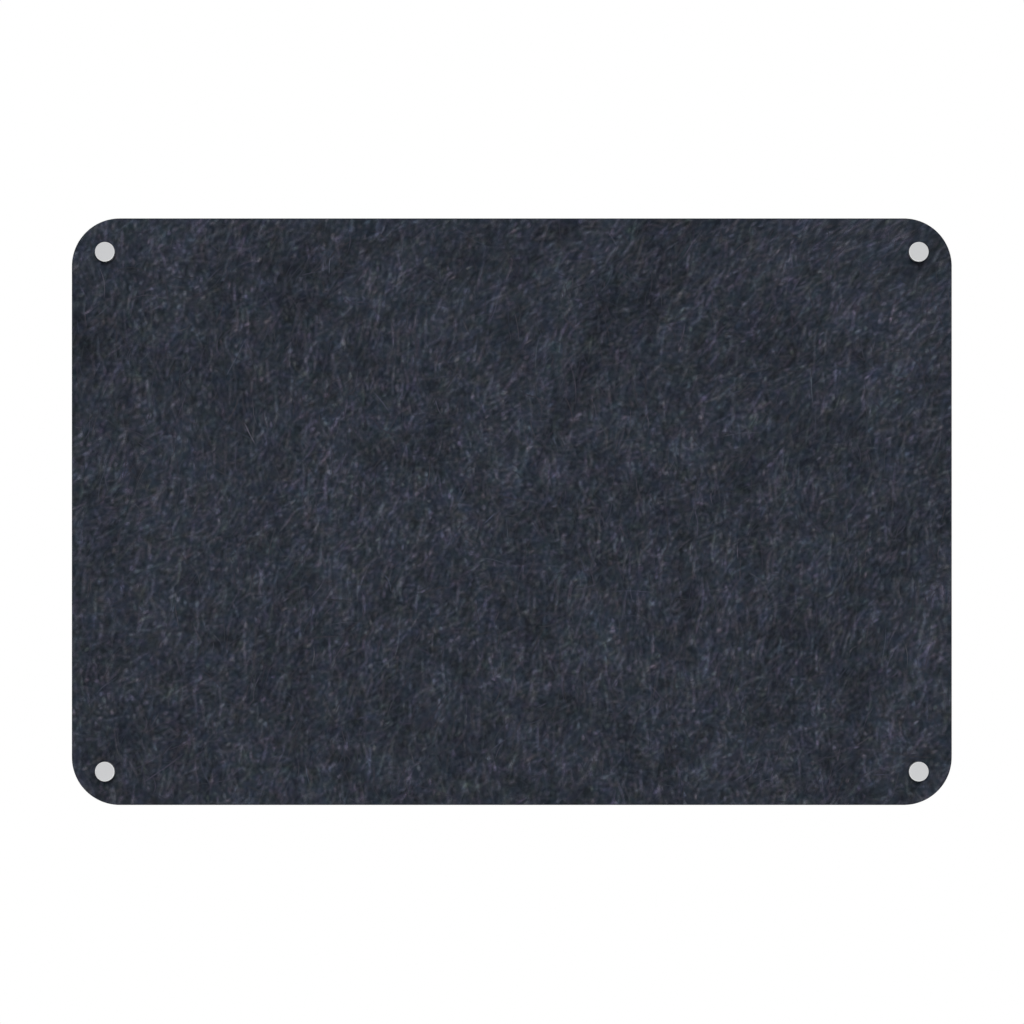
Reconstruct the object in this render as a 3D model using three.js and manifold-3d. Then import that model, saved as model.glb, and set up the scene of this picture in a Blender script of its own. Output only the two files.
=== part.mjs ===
// A felt-faced pinboard that four stand-off fixings hold clear of a wall.
//
// Sizes are millimetres. +X is right, +Z is up and the front of the board faces -Y. The wall's surface is
// the plane y = 0, and the origin is the point of it behind the middle of the board.
// A "reach" is a distance in front of the wall: a piece with a reach of 20 has its rear face at y = -20.

import * as THREE from "three";
import { mergeVertices, toCreasedNormals } from "three/addons/utils/BufferGeometryUtils.js";
import Module from "manifold-3d";

// Board: a felt face and a thinner felt back, glued to a core that holds the pins
const boardWidth = 900;
const boardHeight = 600;
const boardCornerRadius = 49;
const feltFaceThickness = 3;
const pinCoreThickness = 6.8;
const feltBackThickness = 2;
const glueLine = 0.1;

// Fixings: how far each axis lies from the two nearest edges of the board
const fixingInset = 35;

// Gaps between neighbours
const threadClearance = 0.3; // all round, between a thread and its hole
const seatClearance = 0.1; // between flat faces that are clamped together

// Caps and barrels share one diameter
const standOffDiameter = 20;
const barrelLength = 20;
const barrelEdgeChamfer = 0.5;
const barrelMouthChamfer = 0.6;
const barrelBaseLand = 1; // the straight stretch of the screw hole, behind its countersink
const capThickness = 4;
const capEdgeChamfer = 0.5;
const capRearChamfer = 0.3;
const capWebThickness = 1.5; // what the blind hole leaves at the front of the cap

// Studs: a coarse M10 thread, smooth here at its mean diameter
const studDiameter = 10;
const studPitch = 1.5;
const studTurns = 8; // turns of thread held by the barrel when the cap is tight
const studEndChamfer = 0.8;
const studEndGap = 0.3;
const socketAcrossFlats = 5;
const socketDepth = 4;
const boardHoleClearance = 0.5;
const threadDepthShare = 0.65; // of the pitch, from the full diameter down to the mean one

// Washers
const washerThickness = 0.5;
const washerInset = 1; // from the rim of the cap to the rim of the washer
const washerHoleClearance = 0.25;

// Wall screws: countersunk at 45 degrees, smooth here at the thread's mean diameter
const screwDiameter = 4;
const screwThreadDepth = 0.7;
const screwLength = 40;
const screwPointLength = 5;
const screwHoleClearance = 0.3;
const screwHeadClearance = 0.8; // lets the head pass through the barrel's thread
const screwHeadRim = 0.4;
const crossSpan = 4.4;
const crossSlotWidth = 1.1;
const crossDepth = 2;

// Wall plugs: a barbed tube, slit from its inner end
const plugLength = 30;
const plugWall = 1.05;
const plugRimOverhang = 1;
const plugRimThickness = 0.7;
const plugRecessClearance = 1;
const plugNeckLength = 7;
const plugBarbs = 4;
const plugBarbDepth = 0.4;
const plugTipLength = 4;
const plugTipTaper = 0.6;
const plugSlitWidth = 0.9;
const plugFinLength = 8;
const plugFinHeight = 0.8;
const plugFinThickness = 0.7;

// How finely round shapes are divided
const cornerDivisions = 10;
const wideSides = 32;
const slimSides = 16;
const creaseAngle = Math.PI / 6;
const mergeDistance = 0.001;
const cutOverrun = 1;

// Reaches, from the wall to the front
const rearWasherReach = barrelLength + seatClearance;
const feltBackReach = rearWasherReach + washerThickness + seatClearance;
const pinCoreReach = feltBackReach + feltBackThickness + glueLine;
const feltFaceReach = pinCoreReach + pinCoreThickness + glueLine;
const frontWasherReach = feltFaceReach + feltFaceThickness + seatClearance;
const capReach = frontWasherReach + washerThickness + seatClearance;

// Radii that follow from the sizes above
const standOffRadius = standOffDiameter / 2;
const studRadius = (studDiameter - threadDepthShare * studPitch) / 2;
const tappedHoleRadius = studRadius + threadClearance;
const boardHoleRadius = studDiameter / 2 + boardHoleClearance;
const screwRadius = (screwDiameter - screwThreadDepth) / 2;
const screwNeckRadius = screwDiameter / 2;
const screwHeadRadius = tappedHoleRadius - screwHeadClearance;
const plugBoreRadius = screwRadius + threadClearance;
const plugRadius = plugBoreRadius + plugWall;
const plugRimRadius = plugRadius + plugRimOverhang;

// The barrel's base: a recess for the rim of the plug, a straight hole, and the countersink
const baseHoleRadius = screwNeckRadius + screwHoleClearance;
const countersinkRadius = screwHeadRadius + screwHoleClearance;
const countersinkDepth = countersinkRadius - baseHoleRadius;
const recessRadius = plugRimRadius + plugRecessClearance;
const recessDepth = plugRimThickness + seatClearance;
const barrelBaseThickness = recessDepth + barrelBaseLand + countersinkDepth;

// Lengths and places along a fixing's axis
const capHoleDepth = capThickness - capWebThickness;
const studReach = barrelLength - studTurns * studPitch;
const studLength = capReach + capHoleDepth - studEndGap - studReach;
const screwFrontReach = barrelBaseThickness + screwHeadRim;

const wasm = await Module();
wasm.setup();

// A closed geometry as a solid that can be joined and cut.
function solidOf(geometry) {
  const surface = new THREE.BufferGeometry();
  surface.setAttribute("position", geometry.getAttribute("position"));
  surface.setIndex(geometry.getIndex());
  const merged = mergeVertices(surface, mergeDistance);
  const mesh = new wasm.Mesh({
    numProp: 3,
    vertProperties: merged.getAttribute("position").array,
    triVerts: new Uint32Array(merged.getIndex().array),
  });
  return new wasm.Manifold(mesh);
}

function geometryOf(solid) {
  const { vertProperties, triVerts } = solid.getMesh();
  const geometry = new THREE.BufferGeometry();
  geometry.setAttribute("position", new THREE.BufferAttribute(vertProperties, 3));
  geometry.setIndex(new THREE.BufferAttribute(triVerts, 1));
  return toCreasedNormals(geometry, creaseAngle);
}

// Turns an outline of [radius, reach] points, which starts at the front, about the Y axis.
function turned(outline, sides) {
  const points = outline.map(([radius, reach]) => new THREE.Vector2(radius, -reach));
  return new THREE.LatheGeometry(points, sides);
}

// A tube's outline closes on itself, and a solid piece's starts and ends on the axis.
function turnedTube(outline, sides) {
  return turned([...outline, outline[0]], sides);
}

// A box to cut with, from the plane y = 0 to this depth behind it, centred on the Y axis.
function slot(width, depth, height) {
  const box = new THREE.BoxGeometry(width, depth, height);
  box.translate(0, depth / 2, 0);
  return box;
}

const fixingX = boardWidth / 2 - fixingInset;
const fixingZ = boardHeight / 2 - fixingInset;

const corners = [
  { name: "top_left", x: -fixingX, z: fixingZ },
  { name: "top_right", x: fixingX, z: fixingZ },
  { name: "bottom_left", x: -fixingX, z: -fixingZ },
  { name: "bottom_right", x: fixingX, z: -fixingZ },
];

// One layer of the board: a rectangle with round corners and a hole for each stud.
function boardLayer(thickness) {
  const right = boardWidth / 2;
  const top = boardHeight / 2;
  const innerRight = right - boardCornerRadius;
  const innerTop = top - boardCornerRadius;
  const outline = new THREE.Shape();
  outline.absarc(innerRight, innerTop, boardCornerRadius, 0, Math.PI / 2);
  outline.absarc(-innerRight, innerTop, boardCornerRadius, Math.PI / 2, Math.PI);
  outline.absarc(-innerRight, -innerTop, boardCornerRadius, Math.PI, 1.5 * Math.PI);
  outline.absarc(innerRight, -innerTop, boardCornerRadius, 1.5 * Math.PI, 2 * Math.PI);
  for (const corner of corners) {
    const hole = new THREE.Path();
    hole.absarc(corner.x, corner.z, boardHoleRadius, 0, 2 * Math.PI, true);
    outline.holes.push(hole);
  }
  const layer = new THREE.ExtrudeGeometry(outline, {
    depth: thickness,
    bevelEnabled: false,
    curveSegments: cornerDivisions,
  });
  return layer.rotateX(Math.PI / 2);
}

// A cap: a flat disc with a blind hole behind.
function capGeometry() {
  return turned(
    [
      [0, capThickness],
      [standOffRadius - capEdgeChamfer, capThickness],
      [standOffRadius, capThickness - capEdgeChamfer],
      [standOffRadius, capRearChamfer],
      [standOffRadius - capRearChamfer, 0],
      [tappedHoleRadius, 0],
      [tappedHoleRadius, capHoleDepth],
      [0, capHoleDepth],
    ],
    wideSides,
  );
}

// A stud: a set screw with a hexagon socket in its rear end.
function studGeometry() {
  const rod = turned(
    [
      [0, studLength],
      [studRadius - studEndChamfer, studLength],
      [studRadius, studLength - studEndChamfer],
      [studRadius, studEndChamfer],
      [studRadius - studEndChamfer, 0],
      [0, 0],
    ],
    slimSides,
  );
  const socketRadius = socketAcrossFlats / Math.sqrt(3);
  const socket = new THREE.CylinderGeometry(socketRadius, socketRadius, socketDepth + cutOverrun, 6);
  socket.translate(0, (cutOverrun - socketDepth) / 2, 0);
  return geometryOf(solidOf(rod).subtract(solidOf(socket)));
}

function washerGeometry() {
  const rimRadius = standOffRadius - washerInset;
  const holeRadius = studDiameter / 2 + washerHoleClearance;
  return turnedTube(
    [
      [holeRadius, washerThickness],
      [rimRadius, washerThickness],
      [rimRadius, 0],
      [holeRadius, 0],
    ],
    wideSides,
  );
}

// A barrel: tapped from the front, with a base that the wall screw holds to the wall.
function barrelGeometry() {
  return turnedTube(
    [
      [tappedHoleRadius + barrelMouthChamfer, barrelLength],
      [standOffRadius - barrelEdgeChamfer, barrelLength],
      [standOffRadius, barrelLength - barrelEdgeChamfer],
      [standOffRadius, barrelEdgeChamfer],
      [standOffRadius - barrelEdgeChamfer, 0],
      [recessRadius, 0],
      [recessRadius, recessDepth],
      [baseHoleRadius, recessDepth],
      [baseHoleRadius, recessDepth + barrelBaseLand],
      [countersinkRadius, barrelBaseThickness],
      [tappedHoleRadius, barrelBaseThickness],
      [tappedHoleRadius, barrelLength - barrelMouthChamfer],
    ],
    wideSides,
  );
}

// A wall screw, with the front of its head at the origin and its point to the rear. Its plain neck ends
// where the hole in the barrel's base does.
function wallScrewGeometry() {
  const coneEnd = screwHeadRim + screwHeadRadius - screwNeckRadius;
  const neckEnd = screwFrontReach - recessDepth;
  const rod = turned(
    [
      [0, 0],
      [screwHeadRadius, 0],
      [screwHeadRadius, -screwHeadRim],
      [screwNeckRadius, -coneEnd],
      [screwNeckRadius, -neckEnd],
      [screwRadius, -neckEnd],
      [screwRadius, screwPointLength - screwLength],
      [0, -screwLength],
    ],
    slimSides,
  );
  const level = slot(crossSpan, crossDepth, crossSlotWidth);
  const upright = slot(crossSlotWidth, crossDepth, crossSpan);
  return geometryOf(solidOf(rod).subtract(solidOf(level)).subtract(solidOf(upright)));
}

// The barbs' outline: each falls slowly to its root and steps out again, from the front to the rear.
function barbOutline() {
  const barbLength = (plugLength - plugNeckLength - plugTipLength) / plugBarbs;
  const outline = [];
  for (let barb = 0; barb < plugBarbs; barb += 1) {
    const start = plugNeckLength + barb * barbLength;
    outline.push([plugRadius, -start]);
    outline.push([plugRadius - plugBarbDepth, -start - barbLength]);
  }
  return outline;
}

// A wall plug, with the rear of its rim at the origin. The slit opens towards +Z and -Z, between the fins.
function wallPlugGeometry() {
  const tipStart = plugLength - plugTipLength;
  const tube = turnedTube(
    [
      [plugBoreRadius, plugRimThickness],
      [plugRimRadius, plugRimThickness],
      [plugRimRadius, 0],
      [plugRadius, 0],
      ...barbOutline(),
      [plugRadius, -tipStart],
      [plugRadius - plugTipTaper, -plugLength],
      [plugBoreRadius, -plugLength],
    ],
    slimSides,
  );
  const slit = slot(plugSlitWidth, plugLength - plugNeckLength + cutOverrun, 2 * plugRimRadius);
  slit.translate(0, plugNeckLength, 0);
  return geometryOf(solidOf(tube).add(finsSolid()).subtract(solidOf(slit)));
}

// Two thin fins that stand out of the plug's neck on its left and right and keep it from turning.
function finsSolid() {
  const root = plugRadius - plugWall / 2;
  const crest = plugRadius + plugFinHeight;
  const outline = new THREE.Shape();
  outline.moveTo(root, 0);
  outline.lineTo(crest, plugFinHeight);
  outline.lineTo(crest, plugFinLength - plugFinHeight);
  outline.lineTo(root, plugFinLength);
  const right = new THREE.ExtrudeGeometry(outline, { depth: plugFinThickness, bevelEnabled: false });
  right.translate(0, 0, -plugFinThickness / 2);
  const left = right.clone().rotateY(Math.PI);
  return solidOf(right).add(solidOf(left));
}

const finishes = {
  felt: { color: 0x30343d, metalness: 0, roughness: 0.95 },
  core: { color: 0x3a3d45, metalness: 0, roughness: 0.95 },
  aluminium: { color: 0xcbccce, metalness: 0.9, roughness: 0.4 },
  clearNylon: { color: 0xe4e6e4, metalness: 0, roughness: 0.35, transparent: true, opacity: 0.6 },
  zincSteel: { color: 0xb9bcc0, metalness: 0.9, roughness: 0.35 },
  greyNylon: { color: 0x8d9093, metalness: 0, roughness: 0.6 },
};

// A named piece in its finish, with its own origin at this reach.
function piece(name, geometry, finish, reach) {
  const mesh = new THREE.Mesh(geometry, new THREE.MeshStandardMaterial(finish));
  mesh.name = name;
  mesh.position.y = -reach;
  return mesh;
}

function board() {
  const group = new THREE.Group();
  group.name = "board";
  group.add(
    piece("felt_face", boardLayer(feltFaceThickness), finishes.felt, feltFaceReach),
    piece("pin_core", boardLayer(pinCoreThickness), finishes.core, pinCoreReach),
    piece("felt_back", boardLayer(feltBackThickness), finishes.felt, feltBackReach),
  );
  return group;
}

function standOff(corner) {
  const group = new THREE.Group();
  group.name = `${corner.name}_stand_off`;
  group.position.set(corner.x, 0, corner.z);
  const own = (name) => `${corner.name}_${name}`;
  group.add(
    piece(own("cap"), capGeometry(), finishes.aluminium, capReach),
    piece(own("stud"), studGeometry(), finishes.zincSteel, studReach),
    piece(own("front_washer"), washerGeometry(), finishes.clearNylon, frontWasherReach),
    piece(own("rear_washer"), washerGeometry(), finishes.clearNylon, rearWasherReach),
    piece(own("barrel"), barrelGeometry(), finishes.aluminium, 0),
    piece(own("wall_screw"), wallScrewGeometry(), finishes.zincSteel, screwFrontReach),
    piece(own("wall_plug"), wallPlugGeometry(), finishes.greyNylon, 0),
  );
  return group;
}

const group = new THREE.Group();
group.name = "pinboard";
group.add(board(), ...corners.map(standOff));

export default group;
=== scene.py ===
# The looks of the felt pinboard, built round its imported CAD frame.
# Metres. +X is right, +Z is up, the front faces -Y and the wall's surface is the plane y = 0.
import math

import bmesh
import bpy
import numpy as np
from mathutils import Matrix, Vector, noise
from mathutils.geometry import delaunay_2d_cdt


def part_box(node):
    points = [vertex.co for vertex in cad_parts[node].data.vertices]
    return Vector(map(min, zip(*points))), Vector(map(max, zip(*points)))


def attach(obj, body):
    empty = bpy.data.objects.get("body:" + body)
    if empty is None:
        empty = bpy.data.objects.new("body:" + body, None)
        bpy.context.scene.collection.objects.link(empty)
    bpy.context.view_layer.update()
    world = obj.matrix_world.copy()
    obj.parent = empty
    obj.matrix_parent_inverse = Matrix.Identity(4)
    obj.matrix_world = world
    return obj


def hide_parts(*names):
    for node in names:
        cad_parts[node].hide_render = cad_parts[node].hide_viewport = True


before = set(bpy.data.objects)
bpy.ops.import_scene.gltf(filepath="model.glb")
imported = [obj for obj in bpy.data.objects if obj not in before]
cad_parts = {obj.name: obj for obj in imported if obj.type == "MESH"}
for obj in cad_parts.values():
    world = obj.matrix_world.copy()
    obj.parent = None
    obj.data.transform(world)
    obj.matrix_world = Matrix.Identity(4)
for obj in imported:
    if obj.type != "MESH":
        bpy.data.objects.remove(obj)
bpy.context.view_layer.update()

MM = 0.001
FULL_TURN = 2 * math.pi
QUARTER_TURN = math.pi / 2
CORNERS = ("top_left", "top_right", "bottom_left", "bottom_right")

# Camera: the photograph looks straight at the middle of the board
PHOTO_SIDE = 1024
BOARD_WIDTH_IN_PHOTO = 880.3
BOARD_MIDDLE_IN_PHOTO = (511.8, 511.68)
LENS = 50
SENSOR_WIDTH = 36

# Light
AMBIENT_STRENGTH = 0.22
BACKGROUND_STRENGTH = 1
KEY_PLACE = (0, -5.1, 7.3)
KEY_SIDE = 9
KEY_POWER = 1350
BACK_PLACE = (0.9, 2.4, 1.9)
BACK_SIDE = 2
BACK_POWER = 74
FLOOR_Z = -1.2
FLOOR_RADIUS = 1.8
FLOOR_FADE_START = 1.1
FLOOR_COLOUR = (0.86, 0.86, 0.85)
FLOOR_SIDES = 96
FLOOR_ROUGHNESS = 0.9

# Board
CORNER_RADIUS = 49 * MM
STUD_HOLE_RADIUS = 5.5 * MM
FACE_STEP = 3 * MM
BACK_STEP = 4.5 * MM
HIDDEN_STEP = 45 * MM
OUTLINE_STEP = 3 * MM
HOLE_POINTS = 32
EDGE_ROUNDING = 0.6 * MM
EDGE_ROW = 0.8 * MM
EDGE_RELIEF = 0.06 * MM
EDGE_RELIEF_SIZE = 2.2 * MM
EDGE_RELIEF_STRETCH = 3
POINT_JITTER = 0.25
BOARD_CREASE_ANGLE = math.radians(50)
MERGE_DISTANCE = 0.001 * MM
FACE_MATERIAL, EDGE_MATERIAL, LIP_MATERIAL = range(3)

# Felt relief: a loft that the washers press down, with waves and tufts on it
LOFT = 0.22 * MM
PRESSED_MARGIN = 0.3 * MM
LOFT_RISE = 3.5 * MM
RELIEF = ((26 * MM, 0.09 * MM), (7.5 * MM, 0.08 * MM))
RELIEF_SHIFT = 7.3

# Felt: colours, and the patterns that are drawn in it. Scales are waves in a metre
FELT_GROUND = (0.0155, 0.0202, 0.0287)
STRAND = (0.0270, 0.0267, 0.0345)
STRAND_RED_SPREAD = 0.22
STRAND_BLUE_SPREAD = 0.31
STRAND_ALIKE_SHARE = 0.4
DRIFT_SCALE = 40
DRIFT_REACH = (0.49, 0, 0.52)
DRIFT_DETAIL = 2
DRIFT_ROUGHNESS = 1
FINE_ANGLES = (-12, -46, -82, 38)
FINE_CELL = (0.45 * MM, 7 * MM)
FINE_LINE_SHARE = 0.05
FINE_TONES = (0.94, 1.18)
STRAND_HAIR_TONES = (0.56, 1.56)
FINE_HEIGHT_SHARE = 0.35
FINE_PATTERN_SHIFT = (0.23, 0.41)
FINE_WAVE_ROUGHNESS = 0.4
# Towards the board's top right the run of the fibres leans over to the right, from a slanting line on
LEAN_LINE = 0.12
LEAN_SLANT = 0.35
LEAN_RATE = 0.65
LAYER_PATTERN_SHIFT = (0.37, 0.61)
SPINDLE_START_SHARE = 0.02
SPINDLE_END_SHARE = 0.48
# Layers of fibre in the felt: angle of their run, width and length of their cells, strength, rarity
FIBRE_LAYERS = (
    (-3, 6.2, 9.5, 0.51, 1.2),
    (-37, 6.2, 10, 0.45, 1.2),
    (-74, 6.0, 10, 0.4, 1.2),
    (36, 6.0, 9, 0.3, 1.2),
    (73, 6.0, 8, 0.28, 1.2),
    (1, 5.8, 42, 0.9, 4.0),
    (-15, 5.8, 40, 0.84, 4.0),
    (-33, 5.8, 42, 0.73, 4.0),
    (-60, 5.8, 34, 0.68, 4.0),
    (18, 5.6, 34, 0.58, 4.0),
    (88, 5.6, 30, 0.42, 4.0),
    (-56, 6.2, 10, 1.5, 10.0),
    (0, 5.8, 10, 1.4, 9.0),
)
# Each warp bends the layers: its scale and how far it moves them
LAYER_WARPS = ((3, 50 * MM), (24, 6.5 * MM), (90, 1 * MM))
FINE_WARP = (60, 2 * MM)
# Light and dark patches: their scale and how much they differ
MOTTLE_LAYERS = ((8, 0.5), (24, 0.7), (64, 0.5))
MOTTLE_LEAN = math.radians(-17)
MOTTLE_STRETCH = 1.6
PORE_SCALE = 150
PORE_RANGE = (0.32, 0.5)
PORE_TONES = (0.79, 1.05)
FELT_BUMP = 0.24 * MM
FELT_ROUGHNESS = 0.95
FELT_SPECULAR = 0.05
FELT_SHEEN = 0.04
FELT_SHEEN_ROUGHNESS = 0.5
FELT_EDGE_COLOUR = (0.0205, 0.0235, 0.031)
# The rounded lip along the board's rim, coloured darker than the cut edge: a painted dark outline for the
# shade at the rim
FELT_LIP_SHADE_COLOUR = (0.0085, 0.01, 0.0135)
CORE_COLOUR = (0.042, 0.047, 0.06)
CUT_EDGE_STRETCH = 3
CUT_EDGE_GRAINS = ((220, 3, 1.1), (900, 2, 0.9))
CUT_EDGE_BUMP = 0.25 * MM
CUT_EDGE_SPECULAR = 0.08

# Loose fibres that lie on the felt in thin bundles
FIBRE_RINGS = 9
FIBRE_SIDES = 3
FIBRE_DIPS = 1.5
FIBRE_DIP_SHARE = 0.45
FIBRE_SPARE_SHARE = 1.2
FIBRE_LENGTH = 24 * MM
FIBRE_LENGTH_SPREAD = 0.5
FIBRE_LENGTHS = (6 * MM, 60 * MM)
FIBRE_WIDTH = 0.32 * MM
FIBRE_WIDTH_SPREAD = 0.25
FIBRE_HEIGHT_SHARE = 0.25
FIBRE_TIP_SHARE = 0.35
FIBRE_LEAN = math.radians(74)
FIBRE_LEAN_SPREAD = math.radians(24)
LEANING_SHARE = 0.66
SWIRL = math.radians(60)
SWIRL_SIZE = 180 * MM
FIBRE_BEND = math.radians(30)
FIBRE_KINK = 0.1
CURL_SHARE = 0.02
CURL_BEND = math.radians(200)
CURL_RANGE = (0.5, 1)
BUNDLE = 3
BUNDLE_SPREAD = 0.3 * MM
FIBRE_TONE = 0.92
FIBRE_TONE_SPREAD = (0.8, 0.34)
FIBRE_TINT_SPREAD = 0.2
FIBRE_RED_RANGE = (-1, 0.4)
FIBRE_BLUE_RANGE = (-0.4, 1)
FIBRE_ROUGHNESS = 0.9
FIBRE_SPECULAR = 0.1
FIBRE_SHEEN = 0.05
FIBRE_SPECKLE_SCALE = 600
FIBRE_SPECKLE_TONES = (0.85, 1.15)
FIBRE_CREASE_ANGLE = math.radians(70)
FIBRE_SINK = 0.1 * MM
FIBRE_RISE = 0.12 * MM
FIBRE_EDGE_MARGIN = 1 * MM
FACE_FIBRE_SETS = 4
FACE_FIBRES = 2400
BACK_FIBRES = 2400
FACE_FIBRE_SEED = 100
BACK_FIBRE_SEED = 200

# Fixings: sizes repeated from the part's source. Each piece is made about its own axis, front towards -Y
STAND_OFF_RADIUS = 10 * MM
TAPPED_HOLE_RADIUS = 4.8125 * MM
BARREL_CHAMFER = 0.5 * MM
BARREL_MOUTH_CHAMFER = 0.6 * MM
BARREL_BASE = 3.8125 * MM
BASE_LAND = 1 * MM
BASE_HOLE_RADIUS = 2.3 * MM
COUNTERSINK_RADIUS = 4.3125 * MM
RECESS_RADIUS = 5 * MM
RECESS_DEPTH = 0.8 * MM
CAP_FRONT_CHAMFER = 0.5 * MM
CAP_REAR_CHAMFER = 0.3 * MM
CAP_HOLE_DEPTH = 2.5 * MM
CAP_CROWN = 0.04 * MM
STUD_PITCH = 1.5 * MM
STUD_CREST_RADIUS = 4.78 * MM
STUD_ROOT_RADIUS = 4.2 * MM
STUD_END_RADIUS = 3.7 * MM
TAPPED_ROOT_RADIUS = 5.3 * MM
SOCKET_SIDES = 6
SOCKET_ACROSS_FLATS = 5 * MM
SOCKET_DEPTH = 4 * MM
WASHER_HOLE_RADIUS = 5.25 * MM
SCREW_HEAD_RADIUS = 4.0125 * MM
SCREW_HEAD_RIM = 0.4 * MM
SCREW_NECK_RADIUS = 2 * MM
SCREW_NECK_END = -0.8 * MM
SCREW_PITCH = 1.8 * MM
SCREW_CREST_RADIUS = 1.92 * MM
SCREW_ROOT_RADIUS = 1.35 * MM
SCREW_TAPER = 8 * MM
SCREW_SHANK_OVERLAP = 0.3 * MM
SCREW_RUN_IN_SHARE = 0.95
SCREW_RUN_IN_SLOPE = 0.3
SCREW_TIP_RADIUS = 0.1 * MM
CROSS_SPAN = 4.4 * MM
CROSS_WIDTH = 1.1 * MM
CROSS_DEPTH = 2 * MM
CROSS_TAPER = 0.45
PLUG_BORE_RADIUS = 1.95 * MM
PLUG_RADIUS = 3 * MM
PLUG_RIM_RADIUS = 4 * MM
PLUG_RIM_THICKNESS = 0.7 * MM
PLUG_LENGTH = 30 * MM
PLUG_NECK_LENGTH = 7 * MM
PLUG_TIP_LENGTH = 4 * MM
PLUG_TIP_TAPER = 0.6 * MM
PLUG_BARBS = 4
PLUG_BARB_DEPTH = 0.4 * MM
PLUG_SLIT_WIDTH = 0.9 * MM
PLUG_FIN_LENGTH = 8 * MM
PLUG_FIN_HEIGHT = 0.8 * MM
PLUG_FIN_THICKNESS = 0.7 * MM
CUT_OVERRUN = 1 * MM
CROSS_OVERRUN = 0.25 * MM

# How finely and how roundly the fixings are made
TURNED_SIDES = 96
SLIM_SIDES = 48
CORNER_STEPS = 4
ROUNDED_SHARE = 1 / 3
METAL_ROUNDING = 0.12 * MM
NYLON_ROUNDING = 0.15 * MM
CREASE_ANGLE = math.radians(32)

# Metal and nylon
SATIN_COLOUR = (0.6, 0.605, 0.615)
SATIN_ROUGHNESS = 0.44
SATIN_MARK_PITCH = 0.25 * MM
SATIN_GRAIN_SCALE = 900
SATIN_MARK_RANGE = (0.6, 1.4)
SATIN_TONES = (0.965, 1.035)
SATIN_ROUGHNESS_SHARES = (0.9, 1.1)
# The cap's front chamfer: a polished edge whose colour is raised, partly as a painted highlight round the
# rim
EDGE_HIGHLIGHT_COLOUR = (0.74, 0.745, 0.75)
BRIGHT_ROUGHNESS = 0.3
BRIGHT_MARK_PITCH = 0.12 * MM
ZINC_COLOUR = (0.5, 0.51, 0.53)
ZINC_ROUGHNESS = (0.2, 0.4)
ZINC_BLOTCH_SCALE = 260
ZINC_GRAIN_SCALE = 2200
ZINC_MARK_RANGE = (0.7, 1.3)
ZINC_TONES = (0.88, 1.1)
NYLON_IOR = 1.53
CLEAR_COLOUR = (0.8, 0.81, 0.8)
CLEAR_ROUGHNESS = (0.24, 0.36)
CLEAR_TRANSMISSION = 0.75
CLEAR_CLOUD_SCALE = 300
CLEAR_GRAIN_SCALE = 1800
CLEAR_TONES = (0.94, 1.04)
GREY_COLOUR = (0.27, 0.28, 0.29)
GREY_ROUGHNESS = (0.42, 0.58)
GREY_FLOW_SCALE = 700
GREY_FLOW_STRETCH = 0.25
GREY_GRAIN_SCALE = 2600
GREY_TONES = (0.9, 1.08)
GREY_BUMP = 0.02 * MM
FINE_BUMP = 0.01 * MM
GRAIN_ROUGHNESS = 0.6
# The span that nearly all of a noise pattern's values lie in, and its middle
NOISE_RANGE = (0.3, 0.7)
NOISE_MIDDLE = 0.5

# Threads: where along one pitch the root ends, the crest starts and the crest ends
ROOT_END_SHARE = 0.3
CREST_START_SHARE = 0.56
CREST_END_SHARE = 0.7
WOOD_ROOT_END_SHARE = 0.56
WOOD_CREST_START_SHARE = 0.76
WOOD_CREST_END_SHARE = 0.82
SPARE_TURNS = 3


# Small helpers

def collection_object(name, mesh):
    made = bpy.data.objects.new(name, mesh)
    bpy.context.scene.collection.objects.link(made)
    return made


def mesh_of(name, points, faces):
    mesh = bpy.data.meshes.new(name)
    mesh.from_pydata([tuple(p) for p in points], [], [tuple(f) for f in faces])
    mesh.update()
    return mesh


def with_outward_faces(mesh, merges=False):
    """The mesh with its faces turned outwards, and if wanted with points that coincide made one."""
    shape = bmesh.new()
    shape.from_mesh(mesh)
    if merges:
        bmesh.ops.remove_doubles(shape, verts=shape.verts, dist=MERGE_DISTANCE)
        bmesh.ops.dissolve_degenerate(shape, edges=shape.edges, dist=MERGE_DISTANCE)
    bmesh.ops.recalc_face_normals(shape, faces=shape.faces)
    shape.to_mesh(mesh)
    shape.free()
    return mesh


def smooth_by_angle(mesh, angle):
    mesh.shade_smooth()
    mesh.set_sharp_from_angle(angle=angle)
    return mesh


def smoothstep(value, low, high):
    share = np.clip((value - low) / (high - low), 0, 1)
    return share * share * (3 - 2 * share)


# The frame's own places and sizes

face_low, face_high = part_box("felt_face")
core_low, core_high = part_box("pin_core")
back_low, back_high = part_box("felt_back")
half_width = face_high.x
half_height = face_high.z


def axis_of(node):
    low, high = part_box(node)
    middle = (low + high) / 2
    return middle.x, middle.z


fixings = {corner: axis_of(corner + "_cap") for corner in CORNERS}
fixing_points = np.array(list(fixings.values()))
washer_low, washer_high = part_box("top_left_front_washer")
washer_radius = (washer_high.x - washer_low.x) / 2


# Camera

def add_camera():
    metres_per_pixel = 2 * half_width / BOARD_WIDTH_IN_PHOTO
    distance = LENS / SENSOR_WIDTH * PHOTO_SIDE * metres_per_pixel
    data = bpy.data.cameras.new("camera")
    data.lens = LENS
    data.sensor_width = SENSOR_WIDTH
    camera = collection_object("camera", data)
    across, down = (place - PHOTO_SIDE / 2 for place in BOARD_MIDDLE_IN_PHOTO)
    camera.location = (-across * metres_per_pixel, face_low.y - distance, down * metres_per_pixel)
    camera.rotation_euler = (QUARTER_TURN, 0, 0)
    bpy.context.scene.camera = camera


# Node helpers

def node(tree, kind, inputs=None, **settings):
    made = tree.nodes.new("ShaderNode" + kind)
    for name, value in settings.items():
        setattr(made, name, value)
    for name, value in (inputs or {}).items():
        socket = made.inputs[name]
        if isinstance(value, bpy.types.NodeSocket):
            tree.links.new(value, socket)
        else:
            socket.default_value = value
    return made


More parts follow.
